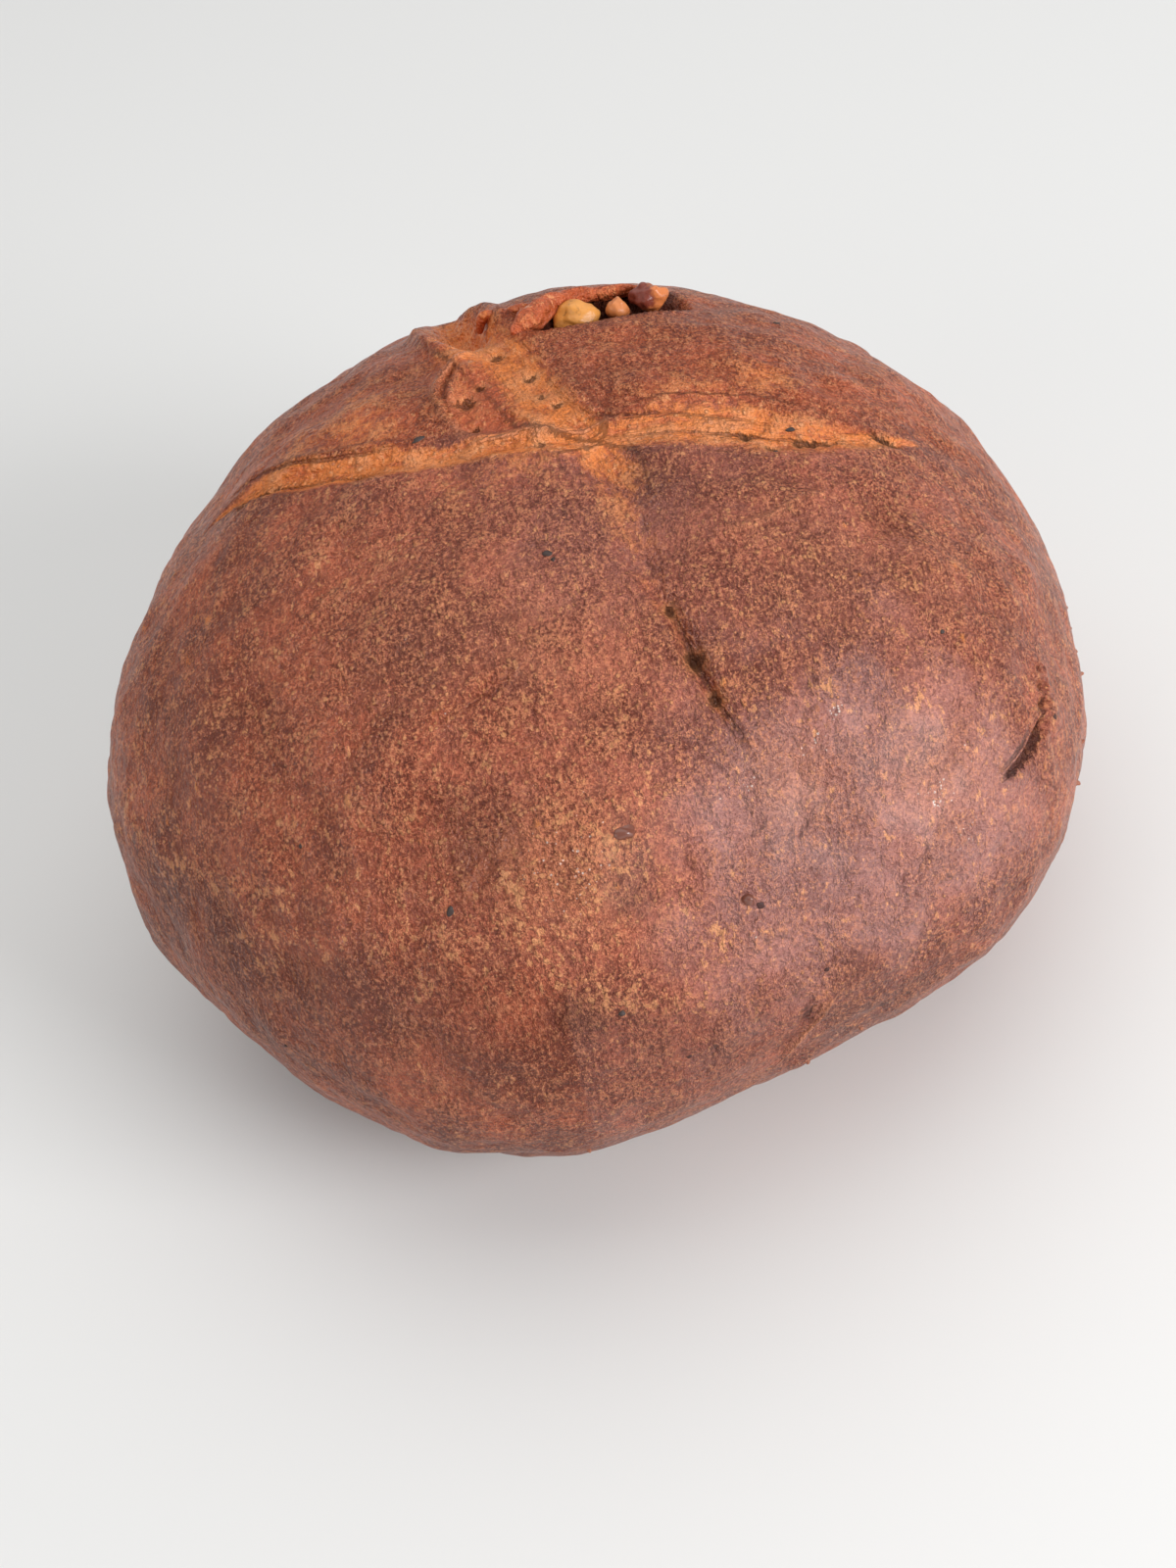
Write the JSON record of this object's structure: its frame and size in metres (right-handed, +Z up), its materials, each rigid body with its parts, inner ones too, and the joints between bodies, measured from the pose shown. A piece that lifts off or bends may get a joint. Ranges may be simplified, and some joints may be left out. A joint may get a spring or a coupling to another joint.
{
  "type": "bread loaf",
  "caption": "Round reddish-brown hearth loaf with a cross cut in its crown and nuts showing in a tear, standing on its flat underside.",
  "frame": {"origin": "middle of the loaf's box on the plane it stands on", "axes": "+Z up through the crown; +Y away from the side that the long front arm of the cross runs down; +X to the right of that side"},
  "size_m": [0.177, 0.1728, 0.106],
  "materials": {
    "crust": "baked crust, satin, red-brown with fine tan speckle",
    "nut_pale": "pale golden, slightly oily",
    "nut_golden": "golden brown, slightly oily",
    "nut_dark": "dark toasted skin"
  },
  "bodies": {
    "root": {"loaf": "crust", "nut_large": "nut_pale", "nut_small": "nut_golden", "nut_toasted": "nut_dark"}
  },
  "joints": []
}
